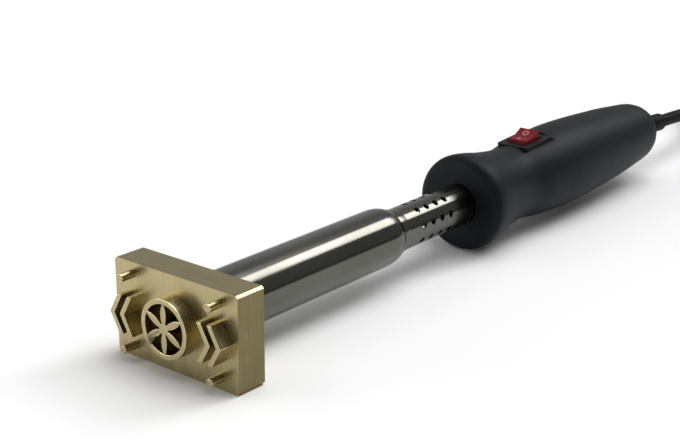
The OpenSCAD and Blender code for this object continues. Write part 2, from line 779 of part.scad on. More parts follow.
module neck_ferrule() {
    color(dark_steel) place() difference() {
        pipe(ferrule_x, ferrule_end, neck_r + fit, ferrule_r - fit);
        drop_rod(ferrule_x + ferrule_len / 2, 0, ferrule_r + cut, screw_r + fit);
    }
}

module ferrule_screw() {
    head_at = ferrule_r + screw_r;
    color(dark_steel) place() difference() {
        drop_rod(ferrule_x + ferrule_len / 2, neck_r + fit, head_at, screw_r);
        drop_socket(ferrule_x + ferrule_len / 2, head_at);
    }
}

module earth_clamp() {
    color(brass) place() difference() {
        union() {
            rod(lug_x, lug_x + clamp_w, neck_r + fit + clamp_t);
            rotate([lug_angle, 0, 0]) translate([lug_x, neck_r + air_gap, -lug_t / 2])
                cube([lug_len, lug_t, lug_t]);
        }
        rod(ferrule_end - cut, lug_end + cut, neck_r + fit);
    }
}

module handle() {
    pocket = [housing_l + 2 * fit, housing_w + 2 * fit];
    below = [2 * receptacle_x + load_at + 2 * barrel_len + 2 * air_gap, 2 * receptacle_y + 2 * air_gap];
    color(black) place() difference() {
        translate([handle_x, 0, 0]) turned(concat(
            handle_outline,
            [[rear_hole_d / 2, handle_len], [rear_hole_d / 2, handle_len - rear_wall],
             [cavity_tail_d / 2, handle_len - rear_wall], [cavity_r, handle_len - cavity_back],
             [cavity_r, ferrule_inset + ferrule_len], [ferrule_r, ferrule_inset + ferrule_len],
             [ferrule_r, ferrule_inset], [neck_r + air_gap, ferrule_inset], [neck_r + air_gap, 0]]));
        drop_rod(ferrule_x + ferrule_len / 2, 0, flange_d, screw_r + fit);
        translate([switch_x, 0, seat_z]) rotate([0, -seat_slope, 0]) {
            translate([-bezel_l / 2 - air_gap, -bezel_w, 0])
                cube([bezel_l + 2 * air_gap, 2 * bezel_w, flange_d]);
            translate([-pocket[0] / 2, -pocket[1] / 2, -housing_d - air_gap])
                cube([pocket[0], pocket[1], housing_d + air_gap + cut]);
            translate([-receptacle_x - barrel_len - air_gap, -below[1] / 2, receptacle_z - air_gap])
                cube([below[0], below[1], receptacle_h + housing_d]);
        }
    }
}

module switch_housing() {
    color(black) on_seat() difference() {
        union() {
            rounded_plate(bezel_l, bezel_w, bezel_t, bezel_round);
            translate([-housing_l / 2, -housing_w / 2, -housing_d])
                cube([housing_l, housing_w, housing_d + cut]);
        }
        translate([-housing_l / 2 + housing_wall, -housing_w / 2 + housing_wall, floor_z])
            cube([housing_l - 2 * housing_wall, housing_w - 2 * housing_wall, rim_z - floor_z]);
        translate([-rocker_l / 2 - rocker_gap, -rocker_w / 2 - rocker_gap, floor_z])
            cube([rocker_l + 2 * rocker_gap, rocker_w + 2 * rocker_gap, housing_d + bezel_t]);
        translate([-ear_half - fit, -ear_y - ear_t - fit, foot_z])
            cube([2 * (ear_half + fit), 2 * (ear_y + ear_t + fit), housing_d]);
        cross_rod(0, pivot_z, housing_w + cut, pivot_d / 2 + running);
        for (x = [0, load_at]) translate([x - blade_t / 2 - fit, -blade_w / 2 - fit, -housing_d - cut])
            cube([blade_t + 2 * fit, blade_w + 2 * fit, housing_floor + 2 * cut]);
    }
}

// Half of the rocker's side outline in its middle position, about the pivot
function rocker_side() =
    let (reach = rocker_l / 2 - corner_in)
    concat([[0, press_h / cos(rock)],
            [reach * cos(rock) - press_h * sin(rock), reach * sin(rock) + press_h * cos(rock)]],
           [for (k = [0:end_steps]) let (a = end_top - k * (end_top + end_foot) / end_steps)
               rocker_l / 2 * [cos(a), sin(a)]],
           [[rocker_foot_w, -rocker_foot]]);

// Turns a piece of the rocker to its rest position, front end pressed
module rocked() {
    on_seat() translate([0, 0, pivot_z]) rotate([0, -rock, 0]) children();
}

module switch_rocker() {
    half = rocker_side();
    other = [for (k = [len(half) - 1:-1:1]) [-half[k][0], half[k][1]]];
    color(red) rocked() difference() {
        union() {
            rotate([90, 0, 0]) linear_extrude(rocker_w, center = true) polygon(concat(half, other));
            cross_rod(0, 0, housing_w - 2 * air_gap, pivot_d / 2);
        }
        translate([0, 0, -rocker_foot - cut]) cylinder(h = plunger_hole_h + cut, d = plunger_d + 2 * fit);
    }
}

module switch_plunger() {
    head_z = -plunger_reach + plunger_d / 2;
    color(steel) rocked() {
        translate([0, 0, head_z]) sphere(d = plunger_d);
        translate([0, 0, head_z]) cylinder(h = plunger_head_h, d = plunger_d);
    }
}

module switch_spring() {
    from = -plunger_reach + plunger_d / 2 + plunger_head_h;
    color(steel) rocked() difference() {
        translate([0, 0, from]) cylinder(h = plunger_hole_h - rocker_foot - from, d = plunger_d);
        translate([0, 0, from - cut]) cylinder(h = plunger_hole_h, d = plunger_d / 2);
    }
}

module contact_bridge() {
    color(brass) on_seat() translate([0, 0, bridge_z]) rotate([0, bridge_lean, 0]) difference() {
        union() {
            translate([-bridge_half, -bridge_w / 2, bridge_drop])
                cube([2 * bridge_half, bridge_w, bridge_t]);
            translate([load_at, 0, bridge_drop - pad_t]) cylinder(h = pad_t + bridge_t / 2, r = pad_r);
            cross_rod(0, 0, bridge_w, bridge_barrel_r);
        }
        cross_rod(0, 0, bridge_w + cut, bridge_pin_d / 2 + running);
    }
}

module centre_terminal() {
    color(brass) on_seat() {
        for (side = [0, 1]) mirror([0, side, 0]) translate([-ear_half, ear_y, foot_z])
            cube([2 * ear_half, ear_t, bridge_z + ear_half - foot_z]);
        translate([-ear_half, -ear_y - ear_t, foot_z]) cube([2 * ear_half, 2 * (ear_y + ear_t), blade_t]);
        cross_rod(0, bridge_z, 2 * ear_y + ear_t, bridge_pin_d / 2);
        translate([-blade_t / 2, -blade_w / 2, blade_end_z]) cube([blade_t, blade_w, foot_z - blade_end_z]);
    }
}

module load_terminal() {
    color(brass) on_seat() {
        translate([load_at - blade_t / 2, -blade_w / 2, blade_end_z])
            cube([blade_t, blade_w, contact_z - blade_t - blade_end_z]);
        translate([load_at, 0, contact_z - blade_t]) cylinder(h = blade_t, r = pad_r);
    }
}

// Connector on one blade, with its crimp barrel to the front (-1) or to the rear (1)
module receptacle(x, way) {
    difference() {
        translate([x - receptacle_x, -receptacle_y, receptacle_z])
            cube([2 * receptacle_x, 2 * receptacle_y, receptacle_h]);
        translate([x - blade_t / 2 - fit, -blade_w / 2 - fit, blade_end_z - fit])
            cube([blade_t + 2 * fit, blade_w + 2 * fit, blade_len + cut]);
    }
    translate([x + way * receptacle_x, 0, barrel_z]) rotate([0, way * 90, 0])
        cylinder(h = barrel_len, r = barrel_r);
}

module lead_receptacles() {
    color(steel) on_seat() {
        receptacle(0, -1);
        receptacle(load_at, 1);
    }
}

lead_sides = 8;
lead_steps = 3;

module live_core() {
    color("#6b4423") place() tube(smooth(live_route, lead_steps), lead_r, lead_sides);
}

module neutral_core() {
    color("#2f5f9e") place() tube(smooth(neutral_route, lead_steps), lead_r, lead_sides);
}

module earth_core() {
    color("#7f9a2e") place() tube(smooth(earth_route, lead_steps), earth_r, lead_sides);
}

module switched_lead() {
    color("white") place() tube(smooth(switched_route, lead_steps), lead_r, lead_sides);
}

module neutral_lead() {
    color("white") place() tube(smooth(neutral_lead_route, lead_steps), lead_r, lead_sides);
}

module core_splice() {
    color(copper) place() translate([0, -side_y, side_z]) rod(splice_x, splice_end, splice_d / 2);
}

module strain_relief() {
    tip_x = relief_out - relief_collar_len;
    root_x = relief_root_d / 2 * sin(relief_droop) + fit;
    root_r = cord_r;
    color(black) place() {
        rod(inlet_end, rear_wall_x, relief_flange_d / 2);
        rod(rear_wall_x - cut, handle_end, rear_hole_d / 2 - fit);
        translate([handle_end, 0, 0]) rotate([0, relief_droop, 0]) {
            turned([[0, -cut], [root_r, -cut], [root_r, root_x], [relief_root_d / 2, root_x],
                    [relief_tip_d / 2, tip_x], [0, tip_x]]);
            rod(tip_x - cut, relief_out, relief_collar_d / 2);
        }
    }
}

module cord_inlet() {
    color(black) place() rod(inlet_x, inlet_end, cord_r);
}

module cord_collar() {
    from = inlet_x + (inlet_len - collar_len) / 2;
    color(steel) place() pipe(from, from + collar_len, cord_r + fit, cord_r + fit + collar_wall);
}

cord_sides = 8;
hank_sides = 6;

module cord_run() {
    color(black) tube(cord_route, cord_r, cord_sides);
}

module cord_hank() {
    color(black) tube(hank_route, cord_r, hank_sides);
}

module plug_lead() {
    color(black) tube(plug_route, cord_r, cord_sides);
}

module cord_tie() {
    half = hank_half - hank_draw + cord_r + tie_gap;
    high = cord_d + (hank_layers - 1) * hank_rise + 2 * tie_gap;
    corner = cord_r;
    color("#3a3d40") translate([hank_x - tie_w / 2, 0, tie_t + high / 2]) rotate([90, 0, 90]) difference() {
        rounded_plate(2 * (half + tie_t), high + 2 * tie_t, tie_w, corner + tie_t);
        translate([0, 0, -cut]) rounded_plate(2 * half, high, tie_w + 2 * cut, corner);
    }
}

// Sets a piece of the plug where it lies, its own axis along +X from the cord to the pins
module plugged() {
    translate([plug_x, plug_y, plug_r]) rotate([plug_turn, 0, 0]) children();
}

clip_depth = 2.4;
clip_in = 3;
clip_back = 1;

module plug_body() {
    face = plug_len;
    disc = plug_len - plug_disc;
    ribs = 5;
    rib_pitch = plug_boot / ribs;
    rib_groove = 0.9;
    grip_swell = 2;
    disc_step = 3;
    edge = 1;
    color(black) plugged() difference() {
        turned(concat([[0, 0], [boot_tip_d / 2, 0]],
            [for (k = [1:ribs - 1]) let (x = k * rib_pitch,
                r = (boot_tip_d + (plug_neck_d - boot_tip_d) * k / ribs) / 2)
                each [[r, x - rib_groove], [r - rib_groove, x - rib_groove], [r - rib_groove, x], [r, x]]],
            [[plug_neck_d / 2, plug_boot], [plug_neck_d / 2 + grip_swell, plug_boot + plug_grip / 2],
             [plug_r - disc_step, disc - edge], [plug_r - edge / 2, disc], [plug_r, disc + edge],
             [plug_r, face - edge], [plug_r - edge, face], [0, face]]));
        for (side = [-1, 1]) translate([disc + clip_in, -clip_w / 2 - fit, side * plug_r - clip_depth])
            cube([plug_disc, clip_w + 2 * fit, 2 * clip_depth]);
        for (side = [-1, 1]) translate([0, side * plug_pin_gap / 2, 0])
            rod(disc, face + cut, plug_pin_d / 2 + fit);
    }
}

module plug_pins() {
    tip = plug_pin_d / 2;
    end = plug_len + plug_pin_len;
    color(steel) plugged() for (side = [-1, 1]) translate([0, side * plug_pin_gap / 2, 0]) {
        rod(plug_len - plug_disc, end - tip, tip);
        translate([end - tip, 0, 0]) sphere(r = tip);
    }
}

module plug_clips() {
    color(brass) plugged() for (side = [0, 1]) mirror([0, 0, side])
        translate([plug_len - plug_disc + clip_in, -clip_w / 2, plug_r - clip_depth])
            cube([plug_disc - clip_in - clip_back, clip_w, clip_t]);
}

// Places that the record states, in metres: pivots, the stamp's face and the cord's exit
echo(rocker_pivot = laid(seated([0, 0, pivot_z])) / 1000);
echo(bridge_pivot = laid(seated([0, 0, bridge_z])) / 1000);
echo(stamp_face = laid([-block_t - relief_h, 0, -block_drop]) / 1000, axis = [-cos(tilt), 0, -sin(tilt)]);
echo(sleeve_middle = laid([sleeve_len / 2, 0, 0]) / 1000, axis = [cos(tilt), 0, sin(tilt)]);
echo(cord_exit = cord_exit / 1000, cord_way = cord_way);

brand_block();
stamp_shank();
nose_bush();
shank_screw();
heater_former();
heater_winding();
heater_wrap();
heater_pins();
lead_spacer();
heater_sleeve();
neck_tube();
neck_ferrule();
ferrule_screw();
earth_clamp();
handle();
switch_housing();
switch_rocker();
switch_plunger();
switch_spring();
contact_bridge();
centre_terminal();
load_terminal();
lead_receptacles();
live_core();
neutral_core();
earth_core();
switched_lead();
neutral_lead();
core_splice();
strain_relief();
cord_inlet();
cord_collar();
cord_run();
cord_hank();
cord_tie();
plug_lead();
plug_body();
plug_pins();
plug_clips();
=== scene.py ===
"""Electric branding iron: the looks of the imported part, in metres, on the CAD frame."""
import json
import math

import bmesh
import bpy
from mathutils import Matrix, Vector


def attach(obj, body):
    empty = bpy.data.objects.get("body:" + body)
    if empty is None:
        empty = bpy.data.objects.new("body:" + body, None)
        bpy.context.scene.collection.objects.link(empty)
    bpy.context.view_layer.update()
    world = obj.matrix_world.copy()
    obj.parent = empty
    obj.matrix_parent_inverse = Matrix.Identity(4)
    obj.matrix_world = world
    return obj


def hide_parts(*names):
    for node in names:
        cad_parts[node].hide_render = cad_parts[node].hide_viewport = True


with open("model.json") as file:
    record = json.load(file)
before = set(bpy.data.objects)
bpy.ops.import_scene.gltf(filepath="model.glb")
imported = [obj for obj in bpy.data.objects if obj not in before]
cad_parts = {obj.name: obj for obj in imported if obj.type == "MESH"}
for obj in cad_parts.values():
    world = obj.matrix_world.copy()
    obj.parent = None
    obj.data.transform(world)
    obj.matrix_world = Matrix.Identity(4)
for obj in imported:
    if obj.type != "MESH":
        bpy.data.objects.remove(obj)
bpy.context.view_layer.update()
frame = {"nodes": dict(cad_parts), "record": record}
record = frame["record"]
nodes = frame["nodes"]
MM = 0.001

# The tool's own axes: their origin is on its axis, at the back face of the stamp block
mounts = {m["name"]: m for m in record["mounts"]}
hinges = {j["name"]: j for j in record["behaviour"]["joints"]}
CRADLE = mounts["stand_cradle"]
AXIS = Vector(CRADLE["axis"])
TILT = math.atan2(AXIS.z, AXIS.x)
ORIGIN = Vector(CRADLE["pos_m"]) - AXIS * (CRADLE["dims"]["length_mm"] / 2 * MM)
TOOL = Matrix.Translation(ORIGIN) @ Matrix.Rotation(-TILT, 4, "Y")
INTO_TOOL = TOOL.inverted()


# Camera, fitted to the photograph
PHOTO_WIDTH = 680
FOCAL_PX = 1338.1
EYE = Vector((-0.446463, -0.29385, 0.185708))
PITCH, YAW, ROLL = 0.31811, 0.68142, 0.01427


def make_camera():
    data = bpy.data.cameras.new("camera")
    data.sensor_fit = "HORIZONTAL"
    data.sensor_width = 36
    data.lens = data.sensor_width * FOCAL_PX / PHOTO_WIDTH
    data.clip_start, data.clip_end = 0.01, 50
    ahead = Vector((math.cos(PITCH) * math.cos(YAW), math.cos(PITCH) * math.sin(YAW), -math.sin(PITCH)))
    level = Vector((math.sin(YAW), -math.cos(YAW), 0))
    upright = level.cross(ahead)
    right = level * math.cos(ROLL) + upright * math.sin(ROLL)
    up = upright * math.cos(ROLL) - level * math.sin(ROLL)
    camera = bpy.data.objects.new("camera", data)
    bpy.context.scene.collection.objects.link(camera)
    camera.matrix_world = Matrix.Translation(EYE) @ Matrix((right, up, -ahead)).transposed().to_4x4()
    bpy.context.scene.camera = camera


make_camera()


# Mains lead: the seen stretch, a hank of the unseen length, and the short way to the plug
CORD_D = 6.5 * MM
CORD_R = CORD_D / 2
CORD_EXIT = Vector((173.519, 0, 21.5015)) * MM
CORD_WAY = Vector((0.999275, 0, -0.0380833))
FREE_MM = ((190, 0, 20.87), (200, 0, 20.4), (211, 0.4, 19.6), (223, 2.6, 17.1),
           (235, 7, 13.3), (247, 13.2, 9.1), (258, 20, 5.8), (268, 26, 3.9))
HANK_X, HANK_RUN, HANK_HALF = 330 * MM, 38 * MM, 30 * MM
HANK_STEP, HANK_RISE, HANK_DRAW, HANK_LIFT = 7.6 * MM, 7.1 * MM, 8 * MM, 1.6 * MM
HANK_LAYERS, HANK_RINGS, HANK_TURNS = 4, 24, 4.25
TO_PLUG_MM = ((386.5, 28.5, 23.8), (395.25, 24, 21.5), (404, 19.5, 19.3))
PLUG_AT = Vector((416, 18, 18.5)) * MM


def hank_point(p):
    """Point of the hank after p turns: loops that spiral in and out again and climb a layer a turn."""
    turn = math.floor(p)
    j = max(0, min(HANK_LAYERS - 1, math.floor(p - 0.125)))
    inward = p - j if j % 2 == 0 else j + 1.25 - p
    climb = min(1, 4 * (p - turn))
    layer = 0 if p < 1 else min(HANK_LAYERS - 1, turn - 1 + climb * climb * (3 - 2 * climb))
    quarter = math.floor(4 * (p - turn))
    t = 4 * (p - turn) - quarter
    w = HANK_HALF - HANK_STEP * inward
    z = CORD_R + HANK_RISE * layer
    x = HANK_RUN * (2 * t - 1)
    waist = math.cos(math.pi / 2 * x / HANK_RUN) ** 2
    if quarter == 0:
        return Vector((HANK_X + x, w - HANK_DRAW * waist, z + HANK_LIFT * waist))
    if quarter == 1:
        return Vector((HANK_X + HANK_RUN + w * math.sin(math.pi * t), w * math.cos(math.pi * t), z))
    if quarter == 2:
        return Vector((HANK_X - x, HANK_DRAW * waist - w, z + HANK_LIFT * waist))
    return Vector((HANK_X - HANK_RUN - w * math.sin(math.pi * t), -w * math.cos(math.pi * t), z))


def cord_route():
    """Points of the whole lead, from the strain relief to the plug."""
    top = CORD_R + (HANK_LAYERS - 1) * HANK_RISE
    first = Vector((HANK_X - HANK_RUN - CORD_D, HANK_HALF, CORD_R))
    last = Vector((HANK_X + HANK_RUN + CORD_D, HANK_HALF, top))
    ahead = Vector((1, 0, 0))
    return ([CORD_EXIT, CORD_EXIT + CORD_D * CORD_WAY]
            + [Vector(p) * MM for p in FREE_MM]
            + [first - CORD_D * ahead, first]
            + [hank_point(k / HANK_RINGS) for k in range(int(HANK_TURNS * HANK_RINGS) + 1)]
            + [last, last + CORD_R * ahead]
            + [Vector(p) * MM for p in TO_PLUG_MM]
            + [PLUG_AT - CORD_R * ahead, PLUG_AT])


def add(obj, body, slot, *replaced):
    """Puts a piece in the scene, on its CAD body, in place of CAD nodes; its slot is not used."""
    bpy.context.scene.collection.objects.link(obj)
    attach(obj, body)
    if replaced:
        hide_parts(*replaced)
    return obj


def make_cord():
    """One smooth tube along the route; each point's radius times a depth of 1 is the lead's radius."""
    route = cord_route()
    data = bpy.data.curves.new("mains_lead", "CURVE")
    data.dimensions = "3D"
    data.resolution_u = 4
    data.bevel_depth = 1
    data.bevel_resolution = 5
    data.use_fill_caps = True
    spline = data.splines.new("BEZIER")
    spline.bezier_points.add(len(route) - 1)
    for point, place in zip(spline.bezier_points, route):
        point.co = place
        point.radius = CORD_R
        point.handle_left_type = point.handle_right_type = "AUTO"
    return add(bpy.data.objects.new("mains_lead", data), "iron", "cord_rubber",
               "cord_run", "cord_hank", "plug_lead")


# Meshes
WELD = 0.002 * MM  # corners that are closer are one
FLAT_DEG = 0.4  # faces that turn by less are one
EDGE_DEG = 35  # edges that turn by more are rounded, or stay sharp on a smooth copy
EDGE_STEPS = 2  # faces across a rounded edge


def mesh_object(name, bm, sharp_deg=40):
    """Mesh object from bm with smooth faces, apart from edges that turn by more than sharp_deg."""
    bm.normal_update()
    for face in bm.faces:
        face.smooth = True
    for edge in bm.edges:
        if len(edge.link_faces) == 2 and edge.calc_face_angle(0) > math.radians(sharp_deg):
            edge.smooth = False
    mesh = bpy.data.meshes.new(name)
    bm.to_mesh(mesh)
    bm.free()
    return bpy.data.objects.new(name, mesh)


def weight_normals(obj):
    """Flat faces stay flat beside rounded edges."""
    modifier = obj.modifiers.new("weighted_normal", "WEIGHTED_NORMAL")
    modifier.keep_sharp = True


def welded(node):
    """Mesh of a CAD node whose faces share their corners."""
    bm = bmesh.new()
    bm.from_mesh(nodes[node].data)
    bmesh.ops.remove_doubles(bm, verts=bm.verts, dist=WELD)
    return bm


def rounded_copy(node, name, edge_w, wide=None):
    """Copy of a CAD node with rounded outer edges, or a flat chamfer where wide(edge) gives its width.

    The new faces have a share of 1 in a face layer made here, which the brass material paints brighter,
    partly as wear and partly as a painted highlight."""
    bm = welded(node)
    wear_and_highlight = bm.faces.layers.float.new("wear_and_highlight")
    bmesh.ops.dissolve_limit(bm, angle_limit=math.radians(FLAT_DEG), verts=bm.verts, edges=bm.edges)
    bm.normal_update()
    groups = {}
    for edge in bm.edges:
        outer = len(edge.link_faces) == 2 and edge.is_convex
        if outer and edge.calc_face_angle(0) > math.radians(EDGE_DEG):
            width = (wide(edge) if wide else None) or edge_w
            groups.setdefault(width, []).append(edge)
    for width in sorted(groups, reverse=True):
        edges = [e for e in groups[width] if e.is_valid]
        steps = EDGE_STEPS if width == edge_w else 1
        rounded = bmesh.ops.bevel(bm, geom=edges, offset=width, offset_type="OFFSET", profile=0.5,
                                  segments=steps, affect="EDGES", clamp_overlap=False)
        for face in rounded["faces"]:
            face[wear_and_highlight] = 1
    obj = mesh_object(name, bm)
    weight_normals(obj)
    return obj


def smooth_copy(node, name):
    """Copy of a CAD node with smooth turned faces and sharp edges."""
    return mesh_object(name, welded(node), EDGE_DEG)


# Shader helpers
def new_material(name, **sockets):
    """Material whose constant values are set on the shader's own sockets."""
    material = bpy.data.materials.new(name)
    material.use_nodes = True
    shader = material.node_tree.nodes["Principled BSDF"]
    for key, value in sockets.items():
        shader.inputs[key.replace("_", " ")].default_value = value
    return material, material.node_tree, shader


def grain(tree, scale, stretch=(1, 1, 1), detail=4.0, roughness=0.55):
    """Noise in the part's own metres, with scale counts per metre times stretch along each axis."""
    place = tree.nodes.new("ShaderNodeTexCoord")
    mapping = tree.nodes.new("ShaderNodeMapping")
    mapping.inputs["Scale"].default_value = stretch
    noise = tree.nodes.new("ShaderNodeTexNoise")
    noise.inputs["Scale"].default_value = scale
    noise.inputs["Detail"].default_value = detail
    noise.inputs["Roughness"].default_value = roughness
    tree.links.new(place.outputs["Object"], mapping.inputs["Vector"])
    tree.links.new(mapping.outputs["Vector"], noise.inputs["Vector"])
    return noise.outputs["Fac"]


def wave(tree, scale, axis):
    """Bands in the part's own metres across one axis."""
    place = tree.nodes.new("ShaderNodeTexCoord")
    bands = tree.nodes.new("ShaderNodeTexWave")
    bands.bands_direction = axis
    bands.inputs["Scale"].default_value = scale
    tree.links.new(place.outputs["Object"], bands.inputs["Vector"])
    return bands.outputs["Fac"]


def ramp(tree, value, *stops):
    """Colour or number that follows value through stops of (position, colour or number)."""
    node = tree.nodes.new("ShaderNodeValToRGB")
    ramp_points = node.color_ramp.elements
    while len(ramp_points) < len(stops):
        ramp_points.new(0.5)
    for point, (at, colour) in zip(ramp_points, stops):
        point.position = at
        point.color = (*colour, 1) if isinstance(colour, tuple) else (colour, colour, colour, 1)
    tree.links.new(value, node.inputs["Fac"])
    return node.outputs["Color"]


def maths(tree, operation, a, b):
    """Number that an operation makes of two others."""
    node = tree.nodes.new("ShaderNodeMath")
    node.operation = operation
    tree.links.new(a, node.inputs[0])
    tree.links.new(b, node.inputs[1])
    return node.outputs["Value"]


def blend(tree, share, a, b):
    """Colour that goes from a to b as share goes from 0 to 1."""
    node = tree.nodes.new("ShaderNodeMix")
    node.data_type = "RGBA"
    for value, socket in ((share, node.inputs["Factor"]), (a, node.inputs[6]), (b, node.inputs[7])):
        tree.links.new(value, socket)
    return node.outputs[2]


def face_share(tree, name):
    """Share from 0 to 1 that the mesh gives each face under a name."""
    node = tree.nodes.new("ShaderNodeAttribute")
    node.attribute_name = name
    return node.outputs["Fac"]


def bump(tree, shader, height, strength, depth):
    """Small relief of a depth in metres that follows height."""
    node = tree.nodes.new("ShaderNodeBump")
    node.inputs["Strength"].default_value = strength
    node.inputs["Distance"].default_value = depth
    tree.links.new(height, node.inputs["Height"])
    tree.links.new(node.outputs["Normal"], shader.inputs["Normal"])


def paint(tree, shader, socket, value):
    """Lets a value that changes over the surface drive one of the shader's sockets."""
    tree.links.new(value, shader.inputs[socket])


# Materials, one for each slot of the record
def brass_stamp():
    """Drawn brass bar with upright strokes on its sawn ends and its milled face; the ends are painted
    darker as painted shade, the milled face brighter as painted light, and the rounded edges brighter from
    wear and a painted highlight.
    """
    material, tree, shader = new_material("brass_stamp", Metallic=1.0)
    along = grain(tree, 50, (26, 0.8, 26), 5, 0.6)
    upright = grain(tree, 45, (26, 20, 0.7), 5, 0.6)
    cloud = grain(tree, 120, (1, 1, 1), 6, 0.65)
    milled_and_lit_face, ends, wear_and_highlight = (face_share(tree, name) for name in ("milled_and_lit_face", "ends", "wear_and_highlight"))
    strokes = blend(tree, maths(tree, "ADD", milled_and_lit_face, ends), along, upright)
    marks = maths(tree, "MULTIPLY", strokes, cloud)
    drawn_colour = ramp(tree, marks, (0.15, (0.295, 0.243, 0.115)), (0.37, (0.345, 0.292, 0.145)))
    # Sawn ends painted darker than the drawn sides: painted shade
    end_painted_shade_colour = ramp(tree, marks, (0.15, (0.175, 0.142, 0.066)), (0.37, (0.215, 0.178, 0.09)))
    # Milled face painted brighter than the drawn sides: painted light
    milled_painted_light_colour = ramp(tree, marks, (0.15, (0.41, 0.342, 0.178)), (0.37, (0.475, 0.406, 0.228)))
    # Rounded edges painted brighter: partly wear, partly a painted highlight
    wear_and_highlight_colour = ramp(tree, marks, (0.15, (0.5, 0.42, 0.24)), (0.37, (0.56, 0.48, 0.3)))
    sides_with_shaded_ends = blend(tree, ends, drawn_colour, end_painted_shade_colour)
    faces = blend(tree, milled_and_lit_face, sides_with_shaded_ends, milled_painted_light_colour)
    paint(tree, shader, "Base Color", blend(tree, wear_and_highlight, faces, wear_and_highlight_colour))
    rough = ramp(tree, strokes, (0.38, 0.26), (0.62, 0.34))
    smooth = ramp(tree, strokes, (0.38, 0.14), (0.62, 0.18))
    paint(tree, shader, "Roughness", blend(tree, wear_and_highlight, rough, smooth))
    bump(tree, shader, strokes, 0.06, 0.03 * MM)
    return material


def plain_metal(name, dark, light, rough_low, rough_high):
    """Metal with faint clouds and fine pits."""
    material, tree, shader = new_material(name, Metallic=1.0)
    cloud = grain(tree, 300)
    fine = grain(tree, 2400, detail=3)
    paint(tree, shader, "Base Color", ramp(tree, cloud, (0.3, dark), (0.7, light)))
    paint(tree, shader, "Roughness", ramp(tree, fine, (0.3, rough_low), (0.7, rough_high)))
    bump(tree, shader, fine, 0.05, 0.02 * MM)
    return material


def polished_steel():
    """Steel tube polished around its axis, which spreads its reflections along the axis."""
    material, tree, shader = new_material("polished_steel", Metallic=1.0, Anisotropic=0.85,
                                          Anisotropic_Rotation=0.25)
    rings = grain(tree, 40, (60, 1, 1), 5, 0.6)
    cloud = grain(tree, 50)
    steel = ramp(tree, cloud, (0.3, (0.108, 0.1075, 0.0945)), (0.7, (0.13, 0.1295, 0.114)))
    paint(tree, shader, "Base Color", steel)
    paint(tree, shader, "Roughness", ramp(tree, rings, (0.3, 0.135), (0.7, 0.18)))
    bump(tree, shader, rings, 0.03, 0.01 * MM)
    around = tree.nodes.new("ShaderNodeTangent")
    around.direction_type = "RADIAL"
    around.axis = "X"
    paint(tree, shader, "Tangent", around.outputs["Tangent"])
    return material


def moulded(name, dark, light, rough_low, rough_high, grain_scale, depth, **sockets):
    """Moulded plastic, rubber or ceramic with faint clouds and a fine grain of a depth in millimetres."""
    material, tree, shader = new_material(name, **sockets)
    cloud = grain(tree, 60)
    fine = grain(tree, grain_scale, detail=2)
    paint(tree, shader, "Base Color", ramp(tree, cloud, (0.3, dark), (0.7, light)))
    paint(tree, shader, "Roughness", ramp(tree, fine, (0.3, rough_low), (0.7, rough_high)))
    bump(tree, shader, fine, 0.25, depth * MM)
    return material


def earth_core():
    """Green insulation with yellow bands."""
    material, tree, shader = new_material("core_green", Roughness=0.45)
    bands = wave(tree, 60, "DIAGONAL")
    colour = ramp(tree, bands, (0.45, (0.08, 0.3, 0.04)), (0.55, (0.7, 0.6, 0.05)))
    paint(tree, shader, "Base Color", colour)
    return material


def heater_wire():
    """Oxidised resistance wire in close turns."""
    material, tree, shader = new_material("heater_wire", Metallic=1.0)
    turns = wave(tree, 400, "X")
    colour = ramp(tree, turns, (0.2, (0.1, 0.08, 0.07)), (0.8, (0.42, 0.36, 0.32)))
    paint(tree, shader, "Base Color", colour)
    paint(tree, shader, "Roughness", ramp(tree, turns, (0.2, 0.6), (0.8, 0.4)))
    bump(tree, shader, turns, 0.8, 0.3 * MM)
    return material


def woven(name, dark, light, scale, depth):
    """Cloth with threads both ways and a weave of a depth in millimetres."""
    material, tree, shader = new_material(name, Roughness=0.9, Sheen_Weight=0.25)
    warp = wave(tree, scale, "X")
    weft = wave(tree, scale, "Y")
    rise = wave(tree, scale, "Z")
    weave = maths(tree, "MULTIPLY", maths(tree, "MULTIPLY", warp, weft), rise)
    paint(tree, shader, "Base Color", ramp(tree, weave, (0.1, dark), (0.6, light)))
    bump(tree, shader, weave, 0.6, depth * MM)
    return material


